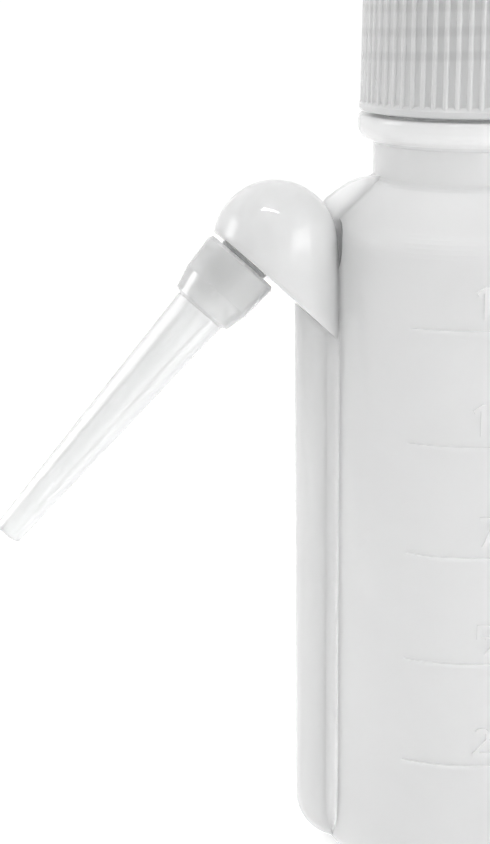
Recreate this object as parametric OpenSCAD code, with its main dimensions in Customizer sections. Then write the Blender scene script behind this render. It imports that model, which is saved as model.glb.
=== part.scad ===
// Integral wash bottle: one blow-moulded body with the delivery tube moulded down its side,
// a ribbed screw cap with its liner, and a screw-on jet with its sealing ring.
// Millimetres. The origin is on the bottle's axis at the level it stands on, +Z is up and the
// delivery tube and the jet are on the -X side.

/* [Bottle] */
// Outside diameter of the body
body_d = 45; // [44:0.5:46]
// Height of the rim of the mouth
mouth_z = 137.4; // [137:0.1:138]
// Wall thickness of the body
wall = 1; // [0.8:0.1:1.1]
// Radius of the corner between the side and the base
base_corner = 3; // [2:0.5:4]
// Radius of the rounded shoulder corner
shoulder_corner = 4; // [3:0.5:4.5]
// Diameter of the plain neck under the bead
neck_d = 28.9; // [28.6:0.1:29.2]
// Diameter of the bead under the cap
bead_d = 33.5; // [33:0.1:34]

/* [Graduations] */
// Number of graduation lines
mark_count = 5; // [3:1:5]
// Height of the lowest line
mark_z = 22.3; // [20:0.1:24]
// Distance between two lines
mark_gap = 17; // [16:0.5:17]
// Height of a digit
digit_h = 4.7; // [4:0.1:5]

/* [Delivery tube] */
// Outside diameter of the delivery tube
tube_d = 7.4; // [7:0.1:7.6]
// Distance from the bottle's axis to the tube's axis
tube_x = 23.6; // [23.4:0.1:23.8]
// Outside diameter of the bulb at the top of the tube
bulb_d = 18.2; // [17.6:0.1:18.6]

/* [Jet] */
// Angle of the jet below the horizontal
jet_angle = 46.6; // [42:0.2:50]
// Length of the jet with its collar
jet_l = 52.6; // [40:0.2:60]
// Diameter of the outlet at the jet's tip
outlet_d = 1.6; // [1:0.1:2]

/* [Cap] */
// Outside diameter of the cap at its lower edge
cap_d = 33.2; // [33:0.1:34]
// Height of the cap
cap_h = 21; // [20.9:0.1:22]
// Number of grip ribs round the cap
rib_count = 60; // [40:2:72]

/* [Hidden] */
$fn = 96;

// body
body_r = body_d / 2;
neck_r = neck_d / 2;
bead_r = bead_d / 2;
finish_r = 13.6;                    // neck above the bead, at the root of its thread
mouth_r = 12.4;
foot_r = 15.5;                      // ring of the base that touches the table, inner edge
push_up = 1.6;                      // height of the base's hollow middle
shoulder_z = 100.5;                 // top of the straight side
neck_z = 109.1;                     // foot of the neck
bead_z = 116.4;                     // lower edge of the bead's straight rim
bead_h = 2.1;
bead_round = 2.2;                   // radius that rounds the bead's underside

// threads: pitch, and the width of a ridge at its root and crest
neck_pitch = 3.3;
neck_thread_z = 126.4;
neck_thread_turns = 2.75;
neck_thread_start = 114;            // angle at which the lowest end of the ridge lies
spout_pitch = 2;
spout_thread_z = 1.6;
spout_thread_turns = 1.75;
root_bite = 0.3;                    // depth to which a ridge is sunk in the wall that carries it

// bulb, and the flat face that the spout stands on
bulb_r = bulb_d / 2;
bulb_x = -30.3;
bulb_z = 100.7;
face_d = 4.75;                      // distance from the bulb's centre to the flat face
spout_off = 1.9;                    // how far the spout's axis misses the bulb's centre
tube_r = tube_d / 2;
tube_bore_r = tube_r - wall;
taper_z = 84;                       // level at which the bulb's taper would meet the tube
taper_r = 4.3;
tube_top = 92;                      // level inside the bulb at which the tube's wall ends
inlet_z = 9;                        // level at which the tube turns in to the body
inlet_bend = 5;
web_t = 1.2;                        // thickness of the moulded web beside the bulb
web_gap = 1;                        // room between the bulb and the body, bridged by the web

// spout and jet, measured along the spout's axis from the flat face
spout_r = 4;
spout_bore_r = 2;
spout_shoulder = 5.6;
spout_l = 7.7;
rim_gap = 0.6;                      // between the flat face and the collar's rim
seal_t = 1.16;
seal_gap = 0.02;                    // on each flat side of the seal
seat_z = spout_l + seal_t + 2 * seal_gap;
collar_end = rim_gap + 8.9;
tip_z = rim_gap + jet_l;

// cap
cap_z = 119.1;
cap_r = cap_d / 2;
cap_draft = 0.35;                   // how much smaller the cap's radius is at its top
cap_bore_r = 14.9;
liner_t = 0.6;
liner_gap = 0.05;                   // on each flat side of the liner
cap_roof_z = mouth_z + liner_t + 2 * liner_gap;

// marks
mark_step = 25;                     // millilitres between two lines
mark_w = 0.5;
mark_proud = 0.25;
mark_from = 227;                    // angles round the body between which a line runs
mark_to = 298;
digit_angle = 262.4;                // direction in which the digits face
digit_w = 0.58 * digit_h;
digit_pitch = 0.74 * digit_h;
digit_stroke = 0.13 * digit_h;
digit_lift = 1.9;                   // gap between a line and the digits above it

// Points of an arc about [cx, cy]
function arc(cx, cy, r, from, to, n) =
    [for (i = [0:n]) let (a = from + (to - from) * i / n) [cx + r * cos(a), cy + r * sin(a)]];

// Moves what is drawn along +Z to the spout's axis, with Z = 0 on the flat face
module on_spout() {
    translate([bulb_x, 0, bulb_z])
    rotate([0, -90 - jet_angle, 0])
    translate([spout_off, 0, face_d])
    children();
}

// A helical ridge with sloping flanks that fades in and out at its ends. A crest radius under
// the root radius makes the ridge of an inside thread.
module thread_ridge(root, crest, pitch, turns, root_w, crest_w, z, start, steps) {
    n = ceil(turns * steps);
    sunk = crest > root ? root - root_bite : root + root_bite;
    points = [for (i = [0:n]) let (
        a = start + 360 * turns * i / n,
        zc = z + pitch * turns * i / n,
        fade = min(1, (i + 0.3) / 4, (n - i + 0.3) / 4),
        top = sunk + (crest - sunk) * fade,
        ring = [[sunk, -root_w / 2], [top, -crest_w / 2], [top, crest_w / 2], [sunk, root_w / 2]])
        for (p = ring) [p[0] * cos(a), p[0] * sin(a), zc + p[1]]];
    sides = [for (i = [0:n - 1], k = [0:3]) let (
        a = 4 * i + k,
        b = 4 * i + (k + 1) % 4) [a, a + 4, b + 4, b]];
    ends = [[0, 1, 2, 3], [4 * n + 3, 4 * n + 2, 4 * n + 1, 4 * n]];
    faces = concat(sides, ends);
    // an outside and an inside ridge wind opposite ways round their section
    turned = crest < root ? faces : [for (f = faces) [for (k = [len(f) - 1:-1:0]) f[k]]];
    polyhedron(points = points, faces = turned, convexity = 8);
}

// ---- bottle body ----

// Half outline of the body, drawn in by t from the outside. The neck's bore has its own radius.
function shoulder_points(t) =
    arc(body_r - shoulder_corner, shoulder_z, shoulder_corner - t, 0, 49, 5);

module vessel_outline() {
    polygon(concat(
        [[0, push_up], [foot_r - 3.5, push_up - 0.3], [foot_r, 0], [body_r - base_corner, 0]],
        arc(body_r - base_corner, base_corner, base_corner, -75, 0, 5),
        shoulder_points(0),
        [[neck_r + 0.9, neck_z - 0.4], [neck_r + 0.25, neck_z], [neck_r, neck_z + 0.5],
         [neck_r, bead_z - 2.1]],
        arc(bead_r - bead_round, bead_z + 0.4, bead_round, -58, 0, 5),
        arc(bead_r - 0.6, bead_z + bead_h - 0.6, 0.6, 0, 90, 3),
        [[finish_r, bead_z + bead_h], [finish_r, mouth_z - 0.4], [finish_r - 0.4, mouth_z],
         [0, mouth_z]]));
}

module cavity_outline() {
    r = body_r - wall;
    corner = base_corner - wall;
    polygon(concat(
        [[0, push_up + wall + 0.2], [foot_r - 3.5, push_up + wall - 0.1], [foot_r, wall + 0.2],
         [r - corner, wall + 0.2]],
        arc(r - corner, wall + 0.2 + corner, corner, -75, 0, 5),
        shoulder_points(wall),
        [[neck_r - 0.1, neck_z - 1.4], [mouth_r, neck_z + 0.4], [mouth_r, mouth_z + 1],
         [0, mouth_z + 1]]));
}

// The bulb with its taper down to the tube, grown by g all round, before the face is cut
module bulb(g) {
    dx = -tube_x - bulb_x;
    dz = taper_z - bulb_z;
    length = sqrt(dx * dx + dz * dz);
    lean = asin((bulb_r - taper_r) / length);
    translate([bulb_x, 0, bulb_z])
    rotate([0, atan2(dx, dz), 0]) {
        sphere(bulb_r + g);
        translate([0, 0, (bulb_r + g) * sin(lean)])
        cylinder(r1 = (bulb_r + g) * cos(lean), r2 = (taper_r + g) * cos(lean),
                 h = length - (bulb_r - taper_r) * sin(lean));
    }
}

// What lies past the bulb's flat face, moved in by t
module past_face(t) {
    on_spout() translate([-40, -20, -t]) cube([80, 40, 40]);
}

// The tube's straight run up to a level inside the bulb, and its bend into the body
module side_tube(r, top) {
    translate([-tube_x, 0, inlet_z]) cylinder(r = r, h = top - inlet_z);
    translate([-tube_x + inlet_bend, 0, inlet_z])
    rotate([90, 0, 0])
    rotate([0, 0, 180])
    rotate_extrude(angle = 90)
    translate([inlet_bend, 0])
    circle(r);
}

// The tube's bore: up into the bulb, and in to the body at the bottom
module tube_bore() {
    side_tube(tube_bore_r, tube_top + 1.5);
    translate([-tube_x + inlet_bend, 0, inlet_z - inlet_bend])
    rotate([0, 90, 0])
    cylinder(r = tube_bore_r, h = 3);
}

module bulb_cavity() {
    difference() {
        bulb(-wall);
        past_face(wall + 0.1);
    }
}

// Thin moulded web along the parting line, from the neck's foot over the shoulder to the bulb
module web() {
    translate([0, web_t / 2, 0])
    rotate([90, 0, 0])
    linear_extrude(web_t)
    polygon([[-neck_r + 0.2, 109.8], [-15.5, 109.7], [-17, 109.5], [-18.7, 109], [-20.4, 108.1],
             [-22.6, 106.6], [-25, 102], [-23, 90], [-20, 90], [-18, 98], [-neck_r + 0.2, 106]]);
}

module body_cavity() {
    difference() {
        rotate_extrude() cavity_outline();
        side_tube(tube_r, tube_top);
        bulb(0);
        translate([bulb_x, 0, bulb_z]) sphere(bulb_r + web_gap + wall);
    }
}

module spout() {
    on_spout() {
        translate([0, 0, -1]) cylinder(r = spout_r, h = spout_shoulder + 1);
        translate([0, 0, spout_shoulder])
        cylinder(r1 = spout_r - 0.1, r2 = spout_r - 0.7, h = spout_l - spout_shoulder);
        thread_ridge(spout_r, 4.75, spout_pitch, spout_thread_turns, 1.1, 0.55,
                     spout_thread_z, 0, 24);
    }
}

// Digits are drawn as strokes on a line from [0, 0], with the digit's middle at x = 0
module ring_stroke(r) {
    difference() {
        circle(r);
        circle(r - digit_stroke);
    }
}

module bar(x, y, w, h) {
    translate([x, y]) square([w, h]);
}

module slant(x1, y1, x2, y2) {
    dx = x2 - x1;
    dy = y2 - y1;
    translate([x1, y1])
    rotate(atan2(dy, dx))
    translate([0, -digit_stroke / 2])
    square([sqrt(dx * dx + dy * dy), digit_stroke]);
}

// Tall shape with round ends, w wide and h high, standing on y
module round_ended(w, h, y) {
    r = w / 2;
    polygon(concat(arc(0, y + h - r, r, 0, 180, 8), arc(0, y + r, r, 180, 360, 8)));
}

module digit_0() {
    difference() {
        round_ended(digit_w, digit_h, 0);
        round_ended(digit_w - 2 * digit_stroke, digit_h - 2 * digit_stroke, digit_stroke);
    }
}

module digit_1() {
    bar(0, 0, digit_stroke, digit_h);
    slant(-0.2 * digit_h, 0.76 * digit_h, digit_stroke / 2, 0.93 * digit_h);
}

module digit_2() {
    r = 0.27 * digit_h;
    bar(-digit_w / 2, 0, digit_w, digit_stroke);
    slant(-digit_w / 2 + 0.3, 0.3, 0.22 * digit_h, 0.6 * digit_h);
    translate([0, digit_h - r])
    difference() {
        ring_stroke(r);
        rotate(-35) bar(-2 * r, -2 * r, 4 * r, 2 * r);
    }
}

module digit_5() {
    r = 0.31 * digit_h;
    bar(-digit_w / 2 + 0.1, digit_h - digit_stroke, digit_w - 0.1, digit_stroke);
    bar(-digit_w / 2 + 0.1, 0.5 * digit_h, digit_stroke, 0.5 * digit_h);
    translate([0, r])
    difference() {
        ring_stroke(r);
        rotate(52) bar(-2 * r, -0.6 * r, 2 * r, 1.2 * r);
        rotate(-4) bar(-2 * r, -0.3 * r, 2 * r, 1.05 * r);
    }
}

module digit_7() {
    bar(-digit_w / 2, digit_h - digit_stroke, digit_w, digit_stroke);
    slant(-0.14 * digit_h, 0, digit_w / 2 - 0.25, digit_h - 0.3);
}

module digit(c) {
    if (c == "0") digit_0();
    if (c == "1") digit_1();
    if (c == "2") digit_2();
    if (c == "5") digit_5();
    if (c == "7") digit_7();
}

// One graduation line with its number over it
module mark(i) {
    z = mark_z + (i - 1) * mark_gap;
    label = str(i * mark_step);
    rotate(mark_from)
    translate([0, 0, z - mark_w / 2])
    rotate_extrude(angle = mark_to - mark_from)
    translate([body_r - 0.3, 0])
    square([0.3 + mark_proud, mark_w]);
    intersection() {
        translate([0, 0, z]) cylinder(r = body_r + mark_proud, h = digit_h + 2 * digit_lift);
        rotate(digit_angle + 90)
        translate([0, -body_r + 1.2, z + digit_lift])
        rotate([90, 0, 0])
        linear_extrude(2)
        for (k = [0:len(label) - 1])
            translate([(k - (len(label) - 1) / 2) * digit_pitch, 0]) digit(label[k]);
    }
}

module bottle_body() {
    color([0.86, 0.87, 0.86])
    difference() {
        union() {
            difference() {
                rotate_extrude() vessel_outline();
                translate([bulb_x, 0, bulb_z]) sphere(bulb_r + web_gap);
            }
            side_tube(tube_r, tube_top);
            difference() {
                bulb(0);
                past_face(0);
            }
            web();
            spout();
            thread_ridge(finish_r, 14.6, neck_pitch, neck_thread_turns, 1.9, 1.1,
                         neck_thread_z, neck_thread_start, 36);
            for (i = [1:mark_count]) mark(i);
        }
        body_cavity();
        tube_bore();
        bulb_cavity();
        on_spout() translate([0, 0, -4]) cylinder(r = spout_bore_r, h = spout_l + 5);
    }
}

// ---- cap ----

module screw_cap() {
    rib_z = cap_z + 1.5;
    rib_h = cap_h - 2.3;
    color([0.78, 0.79, 0.79])
    difference() {
        union() {
            rotate_extrude()
            polygon([[0, cap_z], [cap_r - 0.15, cap_z], [cap_r, cap_z + 0.2], [cap_r, cap_z + 0.9],
                     [cap_r - 0.5, rib_z], [cap_r - 0.5 - cap_draft, cap_z + cap_h - 1],
                     [cap_r - 0.75 - cap_draft, cap_z + cap_h - 0.3],
                     [cap_r - 1.45 - cap_draft, cap_z + cap_h], [0, cap_z + cap_h]]);
            for (i = [0:rib_count - 1])
                rotate(i * 360 / rib_count)
                translate([cap_r - 0.56, 0, rib_z - 0.4])
                rotate([0, -atan(cap_draft / cap_h), 0])
                cylinder(r1 = 0.42, r2 = 0.4, h = rib_h, $fn = 24);
        }
        translate([0, 0, cap_z - 1]) cylinder(r = cap_bore_r, h = cap_roof_z - cap_z + 1);
    }
    color([0.78, 0.79, 0.79])
    thread_ridge(cap_bore_r, 13.9, neck_pitch, 2.25, 1.5, 0.8,
                 neck_thread_z - neck_pitch / 4, neck_thread_start + 90, 36);
}

module cap_liner() {
    color([0.93, 0.93, 0.91])
    translate([0, 0, mouth_z + liner_gap])
    cylinder(r = cap_bore_r - 0.3, h = liner_t);
}

// ---- jet ----

module jet_nozzle() {
    color([0.88, 0.89, 0.88])
    on_spout() {
        difference() {
            rotate_extrude()
            polygon(concat(
                [[0, rim_gap], [5.7, rim_gap], [6.03, rim_gap + 0.5], [5.7, rim_gap + 5.6],
                 [4.85, collar_end], [4.05, collar_end + 0.5],
                 [2.98, rim_gap + 0.66 * jet_l], [2.16, tip_z - 0.6]],
                arc(1.65, tip_z - 0.5, 0.5, 20, 90, 3),
                [[0, tip_z]]));
            rotate_extrude()
            polygon([[0, rim_gap - 1], [5.1, rim_gap - 1], [5.1, 6], [3.85, 7], [3.85, seat_z],
                     [2, seat_z], [1.6, seat_z + 2.4], [outlet_d / 2 + 0.1, tip_z - 4],
                     [outlet_d / 2, tip_z - 3], [0, tip_z - 3]]);
            translate([0, 0, tip_z - 5]) cylinder(r = outlet_d / 2, h = 6);
        }
        thread_ridge(5.1, 4.35, spout_pitch, 1.4, 0.9, 0.45,
                     spout_thread_z + 0.2, 216, 24);
    }
}

module nozzle_seal() {
    color([0.94, 0.94, 0.93])
    on_spout()
    translate([0, 0, spout_l + seal_gap])
    difference() {
        cylinder(r = 3.5, h = seal_t);
        translate([0, 0, -1]) cylinder(r = 2, h = seal_t + 2);
    }
}

bottle_body();
screw_cap();
cap_liner();
jet_nozzle();
nozzle_seal();
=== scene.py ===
"""Looks of the wash bottle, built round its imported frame. +Z is up; the tube and the jet are on -X.

The object's sizes named below are in millimetres, and MM turns them into metres. The studio's are in metres.
"""
import math

import bpy
from mathutils import Matrix, Vector


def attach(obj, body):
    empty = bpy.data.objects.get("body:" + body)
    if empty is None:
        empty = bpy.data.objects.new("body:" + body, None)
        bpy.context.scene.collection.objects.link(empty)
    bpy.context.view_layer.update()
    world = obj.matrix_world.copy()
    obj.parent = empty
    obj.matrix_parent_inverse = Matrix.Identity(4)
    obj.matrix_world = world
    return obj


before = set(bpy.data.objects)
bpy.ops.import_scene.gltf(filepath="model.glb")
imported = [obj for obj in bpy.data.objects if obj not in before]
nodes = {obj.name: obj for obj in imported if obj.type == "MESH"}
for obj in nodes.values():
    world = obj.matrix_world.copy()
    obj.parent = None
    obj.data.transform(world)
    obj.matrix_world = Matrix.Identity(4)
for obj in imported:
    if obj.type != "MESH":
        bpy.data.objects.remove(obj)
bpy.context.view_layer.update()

MM = 0.001
WHITE = (1, 1, 1, 1)

# the bottle, as in the CAD
BODY_R = 22.5
TUBE_R = 3.7
TUBE_X = 23.6            # from the bottle's axis to the tube's
THREAD_PITCH = 3.3
THREAD_Z = 126.4         # level of the lower end of the neck's thread
THREAD_TURN = 114 / 360  # where round the neck that end lies

# fillets in the grooves between the tube and the body
FILLET_R = 1.6
FILLET_Z = (2.6, 96)
FILLET_RINGS = 60
FILLET_STEPS = 12
FILLET_FADE = (0.06, 0.1)  # share of the length over which the lower and the upper end thin out
FILLET_THIN = 0.02         # share of the radius that is left at the ends

# camera, fitted to the photograph
CAMERA_AT = (-89.75, -209.98, 140.6)
CAMERA_WAY = (0.2733, 0.9181, -0.2870)
CAMERA_ROLL = -0.0037
CAMERA_LENS = 64.3
CAMERA_SHIFT = (-0.0605, -0.0154)

# studio, in metres and watts
FLOOR_SIDES = 96
FLOOR_RADII = (0.02, 0.3, 0.6, 1.2)
FLOOR_FADE = (0.25, 1.1)   # distances from the bottle between which the floor fades out
FLOOR_GREY = (0.9, 0.9, 0.9, 1)
FLOOR_GLOW = 0.25
BACKDROP = 1.05            # strength of the white that the camera sees
WORLD_WAY = (0.27, 0.92, 0.1)
WORLD_SPAN = (-0.45, 0.65)
WORLD_DARK, WORLD_LIGHT = 0.71, 1.04
STRIP_WAY = (-0.153, 0.797, 0.584)  # as seen from the camera
STRIP_AWAY = 0.7
STRIP = dict(size=(0.36, 0.05), watts=1.7)
KEY_AT = (0.5, -0.74, 0.25)
KEY = dict(size=(0.6, 0.6), watts=4.2)
RIM_AT = (-0.65, 0.25, 0.3)
RIM = dict(size=(0.3, 0.3), watts=1.1)
BOTTLE_MIDDLE = (0, 0, 0.09)
NECK_MIDDLE = (0, 0, 0.12)

# plastics
BOTTLE = dict(colour=(0.945, 0.95, 0.95), clear=0.35, rough=0.46, soft=5, blend_x=-16.5)
# the cap's colour gets painted shade bands where the neck's thread lies behind it
CAP = dict(colour=(0.76, 0.765, 0.765), clear=0.42, rough=0.46, soft=4, painted_thread_shade=True)
JET = dict(colour=(0.9, 0.905, 0.905), clear=0.7, rough=0.19, soft=2)
LINER = dict(colour=(0.92, 0.92, 0.91), clear=0.0, rough=0.7, fine=0.6)
SEAL = dict(colour=(0.93, 0.93, 0.92), clear=0.0, rough=0.5)
TINT_SPREAD = (0.965, 1.02)    # how far flow marks darken and lighten the colour
ROUGH_SPREAD = (-0.05, 0.06)   # and what they add to the roughness
WAVE_HEIGHT = 0.12
GRAIN_HEIGHT = 0.02
BLEND_R = 2.2                  # rounding of the inner corners on the tube's side
BLEND_EDGE = 1.5               # width over which that rounding begins
# painted shade: the cap's colour is darkened in bands where the neck's thread lies behind it
PAINTED_THREAD_LEVELS = (125.8, 136.2)   # levels between which the neck's thread is painted as darker shade on the cap
PAINTED_THREAD_STRENGTH = 0.16
THREAD_SHADE = (0.3, 0.3, 0.3, 1)


# ---- small helpers ----

def link(obj):
    bpy.context.scene.collection.objects.link(obj)
    return obj


def mesh_object(name, verts, faces):
    mesh = bpy.data.meshes.new(name)
    mesh.from_pydata(verts, [], faces)
    return link(bpy.data.objects.new(name, mesh))


def paint(obj, material):
    obj.data.materials.clear()
    obj.data.materials.append(material)


def add(tree, kind, **values):
    node = tree.nodes.new(kind)
    for key, value in values.items():
        setattr(node, key, value)
    return node


def set_socket(tree, socket, value):
    """Links the socket to another node's output, or sets it to a plain value."""
    if isinstance(value, bpy.types.NodeSocket):
        tree.links.new(value, socket)
    else:
        socket.default_value = value


def feed(tree, node, **inputs):
    """Sets a node's sockets by name, with _ for a space."""
    for name, value in inputs.items():
        set_socket(tree, node.inputs[name.replace("_", " ")], value)
    return node


def fed_in_order(tree, node, *values):
    """Sets a node's first sockets, and gives its first output."""
    for socket, value in zip(node.inputs, values):
        set_socket(tree, socket, value)
    return node.outputs[0]


def math_node(tree, operation, *values):
    return fed_in_order(tree, add(tree, "ShaderNodeMath", operation=operation), *values)


def mixed_shader(tree, *values):
    return fed_in_order(tree, add(tree, "ShaderNodeMixShader"), *values)


def ranged(tree, value, start, end, to=(0, 1), smooth=True):
    kind = "SMOOTHSTEP" if smooth else "LINEAR"
    node = add(tree, "ShaderNodeMapRange", interpolation_type=kind)
    feed(tree, node, Value=value, From_Min=start, From_Max=end, To_Min=to[0], To_Max=to[1])
    return node.outputs[0]


def object_point(tree):
    return add(tree, "ShaderNodeTexCoord").outputs["Object"]


def axes_of(tree, point):
    node = add(tree, "ShaderNodeSeparateXYZ")
    tree.links.new(point, node.inputs[0])
    return node.outputs


def new_material(name):
    material = bpy.data.materials.new(name)
    material.use_nodes = True
    tree = material.node_tree
    tree.nodes.clear()
    return material, tree, add(tree, "ShaderNodeOutputMaterial")


# ---- camera, floor and light ----

def make_camera():
    data = bpy.data.cameras.new("camera")
    data.sensor_width = 36
    data.lens = CAMERA_LENS
    data.shift_x, data.shift_y = CAMERA_SHIFT
    data.clip_start = 0.01
    data.clip_end = 20
    camera = link(bpy.data.objects.new("camera", data))
    place = Matrix.Translation(Vector(CAMERA_AT) * MM)
    turn = Vector(CAMERA_WAY).normalized().to_track_quat("-Z", "Y").to_matrix().to_4x4()
    camera.matrix_world = place @ turn @ Matrix.Rotation(CAMERA_ROLL, 4, "Z")
    bpy.context.scene.camera = camera
    return camera


def floor_disc():
    """A disc made of rings round the bottle's axis."""
    verts = [(0, 0, 0)]
    for radius in FLOOR_RADII:
        for i in range(FLOOR_SIDES):
            a = 2 * math.pi * i / FLOOR_SIDES
            verts.append((radius * math.cos(a), radius * math.sin(a), 0))
    faces = [(0, 1 + i, 1 + (i + 1) % FLOOR_SIDES) for i in range(FLOOR_SIDES)]
    for ring in range(len(FLOOR_RADII) - 1):
        first = 1 + ring * FLOOR_SIDES
        for i in range(FLOOR_SIDES):
            a, b = first + i, first + (i + 1) % FLOOR_SIDES
            faces.append((a, a + FLOOR_SIDES, b + FLOOR_SIDES, b))
    return mesh_object("floor", verts, faces)


def floor_white():
    """White that fades out into the white surround."""
    material, tree, out = new_material("floor_white")
    white = add(tree, "ShaderNodeBsdfPrincipled")
    feed(tree, white, Base_Color=FLOOR_GREY, Roughness=0.8)
    feed(tree, white, Emission_Color=WHITE, Emission_Strength=FLOOR_GLOW)
    length = add(tree, "ShaderNodeVectorMath", operation="LENGTH")
    tree.links.new(object_point(tree), length.inputs[0])
    fade = ranged(tree, length.outputs["Value"], *FLOOR_FADE)
    clear = add(tree, "ShaderNodeBsdfTransparent")
    feed(tree, out, Surface=mixed_shader(tree, fade, white.outputs[0], clear.outputs[0]))
    return material


def make_floor():
    floor = floor_disc()
    paint(floor, floor_white())


def make_world():
    """White surround for the camera. The light is white from behind and dimmer from the front."""
    world = bpy.data.worlds.new("studio")
    world.use_nodes = True
    bpy.context.scene.world = world
    tree = world.node_tree
    tree.nodes.clear()
    out = add(tree, "ShaderNodeOutputWorld")
    dot = add(tree, "ShaderNodeVectorMath", operation="DOT_PRODUCT")
    tree.links.new(add(tree, "ShaderNodeTexCoord").outputs["Generated"], dot.inputs[0])
    dot.inputs[1].default_value = Vector(WORLD_WAY).normalized()
    strength = ranged(tree, dot.outputs["Value"], *WORLD_SPAN, to=(WORLD_DARK, WORLD_LIGHT))
    lit = feed(tree, add(tree, "ShaderNodeBackground"), Color=WHITE, Strength=strength)
    seen = feed(tree, add(tree, "ShaderNodeBackground"), Color=WHITE, Strength=BACKDROP)
    by_camera = add(tree, "ShaderNodeLightPath").outputs["Is Camera Ray"]
    feed(tree, out, Surface=mixed_shader(tree, by_camera, lit.outputs[0], seen.outputs[0]))


def area_light(name, at, towards, size, watts):
    data = bpy.data.lights.new(name, "AREA")
    data.shape = "RECTANGLE"
    data.size, data.size_y = size
    data.energy = watts
    lamp = link(bpy.data.objects.new(name, data))
    lamp.location = at
    away = Vector(towards) - Vector(at)
    lamp.rotation_euler = away.to_track_quat("-Z", "Y").to_euler()


def make_lights(camera):
    """A narrow strip overhead for the small highlights, a broad key in front and a soft rim light."""
    middle = Vector(BOTTLE_MIDDLE)
    strip_at = middle + camera.matrix_world.to_3x3() @ Vector(STRIP_WAY) * STRIP_AWAY
    area_light("strip", strip_at, middle, **STRIP)
    area_light("key", KEY_AT, middle, **KEY)
    area_light("rim", RIM_AT, NECK_MIDDLE, **RIM)


# ---- materials ----

def noise(tree, point, scale, detail, distortion=0):
    node = add(tree, "ShaderNodeTexNoise")
    feed(tree, node, Vector=point, Scale=scale, Detail=detail, Distortion=distortion)
    return node.outputs["Fac"]


def bumped(tree, height, strength, distance, normal=None):
    node = add(tree, "ShaderNodeBump")
    feed(tree, node, Height=height, Strength=strength, Distance=distance * MM)
    if normal is not None:
        feed(tree, node, Normal=normal)
    return node.outputs[0]


def flow_tint(tree, flow, colour):
    """The colour, a little darker and lighter along the flow marks."""
    ramp = add(tree, "ShaderNodeValToRGB")
    for end, position, share in zip(ramp.color_ramp.elements, (0.3, 0.7), TINT_SPREAD):
        end.position = position
        end.color = tuple(min(1, c * share) for c in colour) + (1,)
    return fed_in_order(tree, ramp, flow)


def blended_normal(tree, point, limit):
    """Rounds the inner corners on the tube's side, beyond the given X."""
    bevel = add(tree, "ShaderNodeBevel", samples=6)
    bevel.inputs["Radius"].default_value = BLEND_R * MM
    plain = add(tree, "ShaderNodeNewGeometry")
    x = axes_of(tree, point)["X"]
    share = ranged(tree, x, (limit + BLEND_EDGE) * MM, limit * MM)
    mix = add(tree, "ShaderNodeMix", data_type="VECTOR")
    tree.links.new(share, mix.inputs["Factor"])
    tree.links.new(plain.outputs["Normal"], mix.inputs[4])
    tree.links.new(bevel.outputs[0], mix.inputs[5])
    return mix.outputs[1]


def painted_thread_share(tree, point):
    """How strongly the painted shade of the neck's thread darkens each point of the cap, from 0 to the
    greatest share set for it.
    """
    axes = axes_of(tree, point)
    angle = math_node(tree, "ARCTAN2", axes["Y"], axes["X"])
    turns = math_node(tree, "DIVIDE", angle, 2 * math.pi)
    level = math_node(tree, "DIVIDE", axes["Z"], THREAD_PITCH * MM)
    phase = math_node(tree, "SUBTRACT", level, turns)
    crest = math_node(tree, "ADD", phase, 0.25 + THREAD_TURN - THREAD_Z / THREAD_PITCH)
    wave = math_node(tree, "SINE", math_node(tree, "MULTIPLY", crest, 2 * math.pi))
    band = ranged(tree, wave, -0.2, 1, to=(0, PAINTED_THREAD_STRENGTH))
    above = math_node(tree, "GREATER_THAN", axes["Z"], PAINTED_THREAD_LEVELS[0] * MM)
    below = math_node(tree, "LESS_THAN", axes["Z"], PAINTED_THREAD_LEVELS[1] * MM)
    return math_node(tree, "MULTIPLY", band, math_node(tree, "MULTIPLY", above, below))


def thread_shadow(tree, point, colour):
    """Painted shade of the neck's thread behind the cap: three faint darker bands that climb round it."""
    mix = add(tree, "ShaderNodeMix", data_type="RGBA", blend_type="MULTIPLY")
    tree.links.new(painted_thread_share(tree, point), mix.inputs["Factor"])
    tree.links.new(colour, mix.inputs[6])
    mix.inputs[7].default_value = THREAD_SHADE
    return mix.outputs[2]


def moulded_plastic(name, colour, clear, rough, soft=0, fine=0.12, wave=0.5, blend_x=None,
                    painted_thread_shade=False):
    """Natural polyethylene: milky, partly clear, satin, with faint flow marks and a fine skin."""
    material, tree, out = new_material(name)
    point = object_point(tree)
    flow = noise(tree, point, scale=38, detail=3, distortion=0.6)
    skin = noise(tree, point, scale=1400, detail=2)
    shade = flow_tint(tree, flow, colour)
    # painted shade of the neck's thread, darkening the cap's colour in bands
    if painted_thread_shade:
        shade = thread_shadow(tree, point, shade)
    start = None if blend_x is None else blended_normal(tree, point, blend_x)
    uneven = bumped(tree, flow, wave, WAVE_HEIGHT, start)
    grain = bumped(tree, skin, fine, GRAIN_HEIGHT, uneven)
    gloss = ranged(tree, flow, 0, 1, to=[rough + r for r in ROUGH_SPREAD], smooth=False)
    plastic = add(tree, "ShaderNodeBsdfPrincipled")
    feed(tree, plastic, Base_Color=shade, Roughness=gloss, Normal=grain, IOR=1.5)
    feed(tree, plastic, Transmission_Weight=clear)
    feed(tree, plastic, Coat_Weight=0.8, Coat_Roughness=0.06, Coat_IOR=1.45)
    if soft:
        feed(tree, plastic, Subsurface_Weight=1, Subsurface_Radius=(1, 1, 1))
        feed(tree, plastic, Subsurface_Scale=soft * MM)
    feed(tree, out, Surface=plastic.outputs[0])
    return material


# ---- fillets between the draw tube and the body ----

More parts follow.
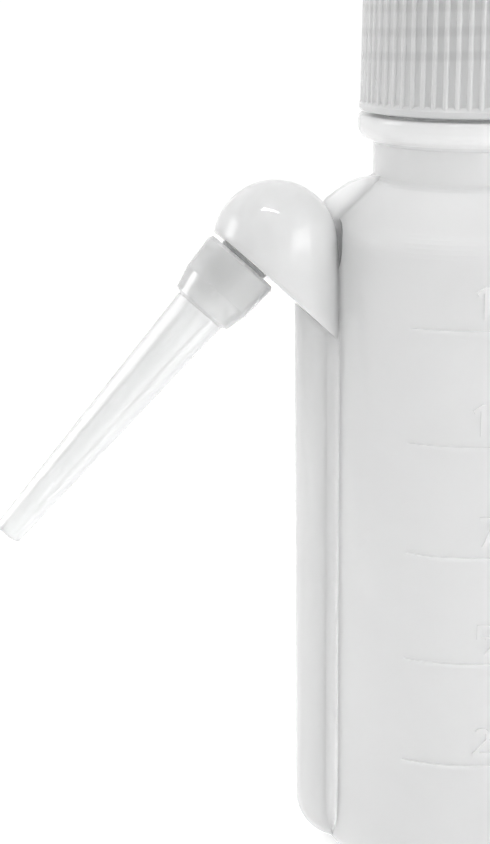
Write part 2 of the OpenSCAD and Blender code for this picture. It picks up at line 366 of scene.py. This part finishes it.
def fillet_arc(radius, side):
    """Plan of a hollow fillet that touches the body's side and the tube's."""
    reach_body, reach_tube = BODY_R + radius, TUBE_R + radius
    x = (TUBE_X ** 2 + reach_body ** 2 - reach_tube ** 2) / (2 * TUBE_X)
    y = math.sqrt(reach_body ** 2 - x ** 2)
    from_body = math.atan2(-y, -x)
    from_tube = math.atan2(-y, TUBE_X - x)
    points = []
    for i in range(FILLET_STEPS + 1):
        a = from_body + (from_tube - from_body) * i / FILLET_STEPS
        points.append((-x - radius * math.cos(a), side * (y + radius * math.sin(a))))
    return points


def fillet_radius(share):
    """The fillet's radius at a share of its length. It thins out to almost nothing at both ends."""
    swell = min(1, share / FILLET_FADE[0], (1 - share) / FILLET_FADE[1])
    return FILLET_R * max(FILLET_THIN, math.sin(swell * math.pi / 2))


def make_fillet(name, side):
    """A strip up the groove on one side: -1 in front, 1 at the back."""
    low, high = FILLET_Z
    verts = []
    for ring in range(FILLET_RINGS + 1):
        share = ring / FILLET_RINGS
        z = low + (high - low) * share
        verts += [(x * MM, y * MM, z * MM) for x, y in fillet_arc(fillet_radius(share), side)]
    wide = FILLET_STEPS + 1
    faces = []
    for ring in range(FILLET_RINGS):
        for i in range(FILLET_STEPS):
            a, b = ring * wide + i, (ring + 1) * wide + i
            quad = (a, a + 1, b + 1, b)
            faces.append(quad if side < 0 else quad[::-1])
    fillet = mesh_object(name, verts, faces)
    for face in fillet.data.polygons:
        face.use_smooth = True
    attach(fillet, "bottle")
    return fillet


# ---- the whole ----

def dress():
    """The CAD's own meshes get their plastics, and the bottle its two fillets."""
    bottle_plastic = moulded_plastic("bottle_plastic", **BOTTLE)
    paint(nodes["bottle_body"], bottle_plastic)
    paint(nodes["screw_cap"], moulded_plastic("cap_plastic", **CAP))
    paint(nodes["jet_nozzle"], moulded_plastic("jet_plastic", **JET))
    paint(nodes["cap_liner"], moulded_plastic("liner_foam", **LINER))
    paint(nodes["nozzle_seal"], moulded_plastic("seal_plastic", **SEAL))
    for name, side in (("groove_fillet_front", -1), ("groove_fillet_back", 1)):
        paint(make_fillet(name, side), bottle_plastic)


make_floor()
make_world()
make_lights(make_camera())
dress()
bpy.context.scene.view_settings.view_transform = "Standard"
